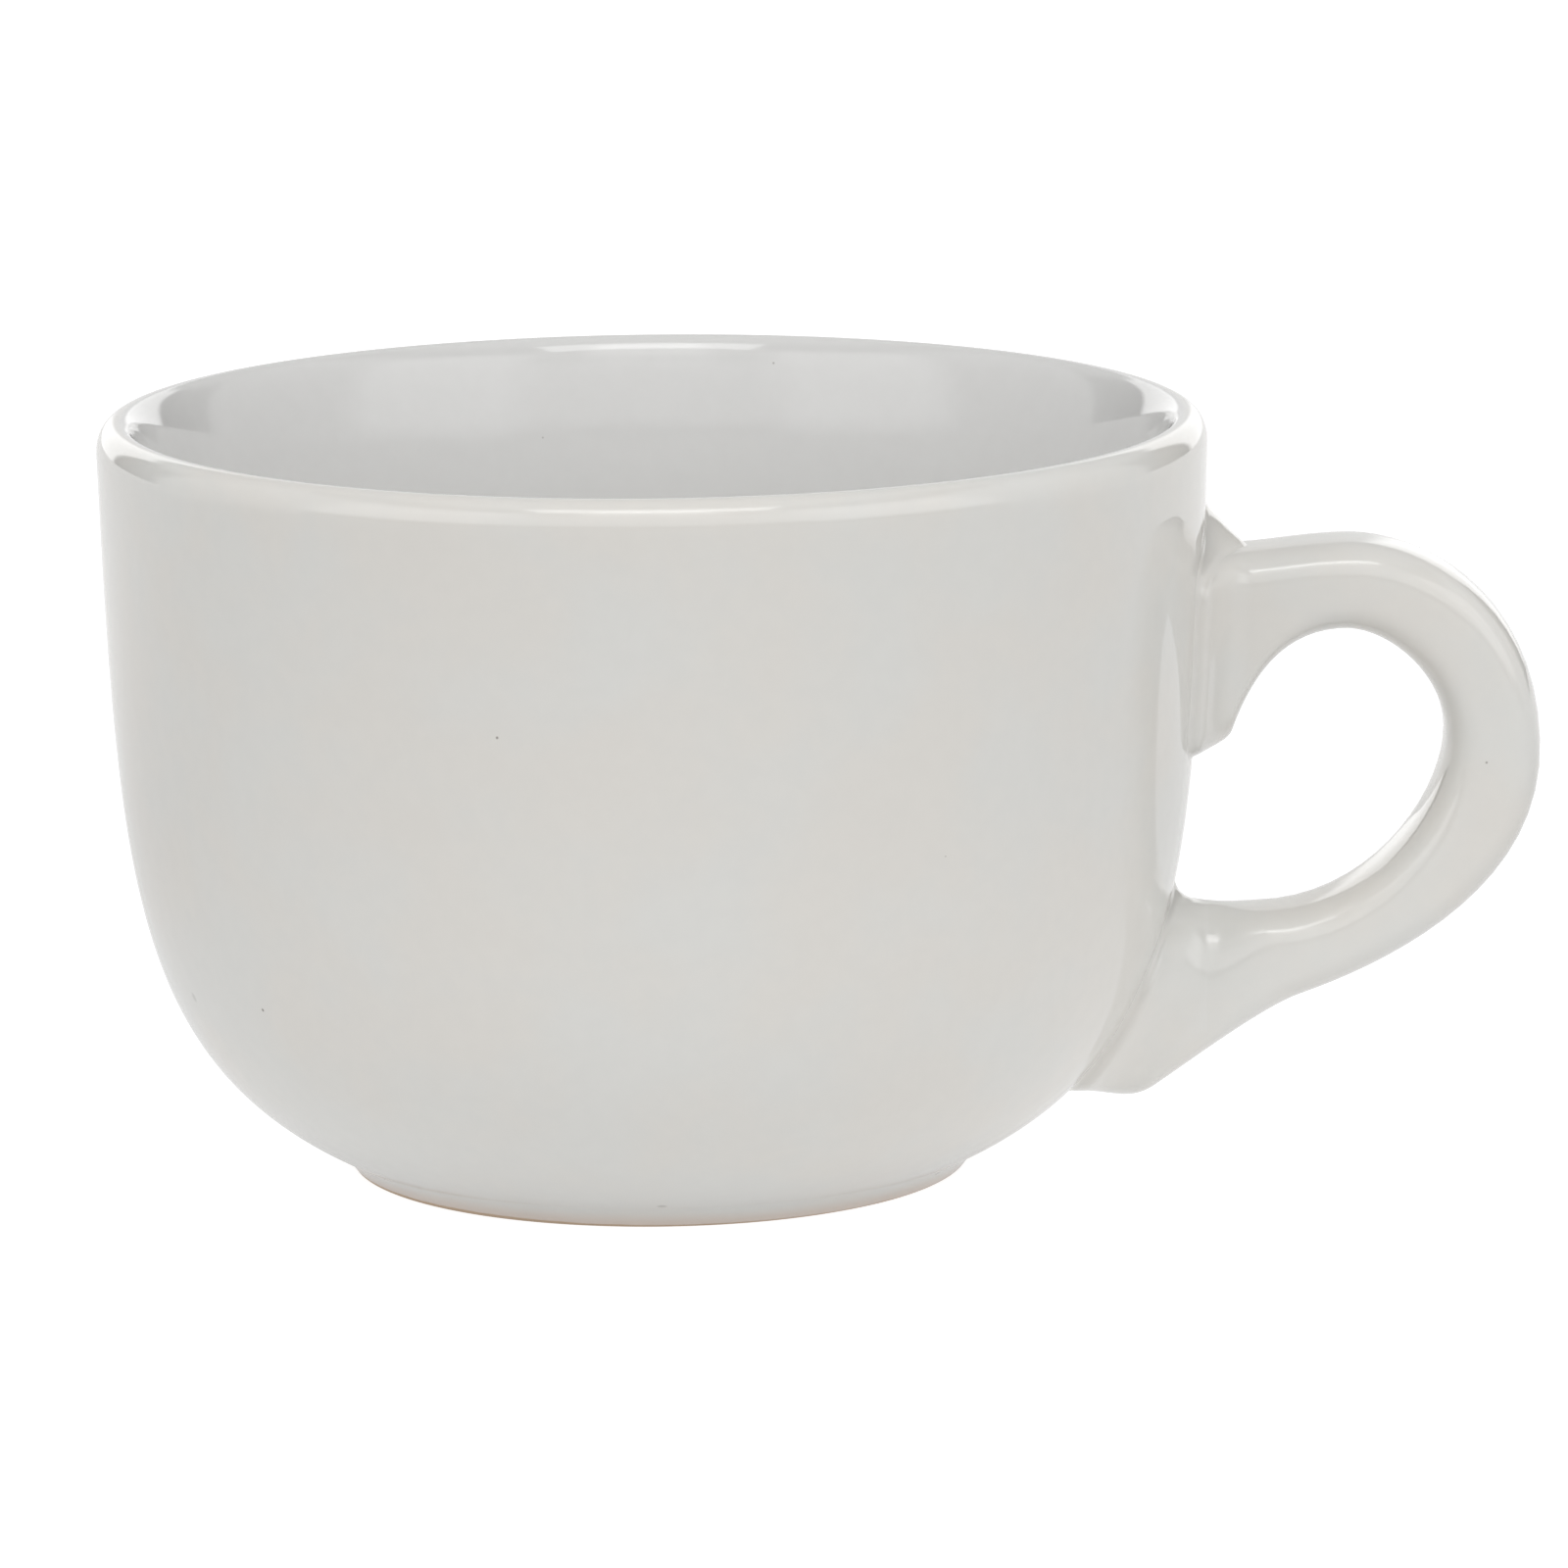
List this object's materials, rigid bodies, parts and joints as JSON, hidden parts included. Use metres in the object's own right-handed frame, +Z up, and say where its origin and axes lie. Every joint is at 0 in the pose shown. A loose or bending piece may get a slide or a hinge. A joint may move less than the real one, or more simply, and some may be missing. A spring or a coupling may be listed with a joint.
{
  "type": "cappuccino mug",
  "caption": "Low, wide glazed stoneware cappuccino mug with a rounded belly, a foot ring and a loop handle luted to the bowl at both ends.",
  "frame": {"origin": "middle of the mug's footprint on the table, counting the handle", "axes": "+X along the handle, away from the bowl; +Z up, out of the mouth; -Z into the table under the foot ring"},
  "size_m": [0.1484, 0.114, 0.0783],
  "materials": {
    "glaze": "glossy off-white glaze over buff stoneware, bare on the foot ring"
  },
  "bodies": {
    "root": {"bowl": "glaze", "handle": "glaze", "upper_slip_joint": "glaze", "lower_slip_joint": "glaze"}
  },
  "joints": []
}
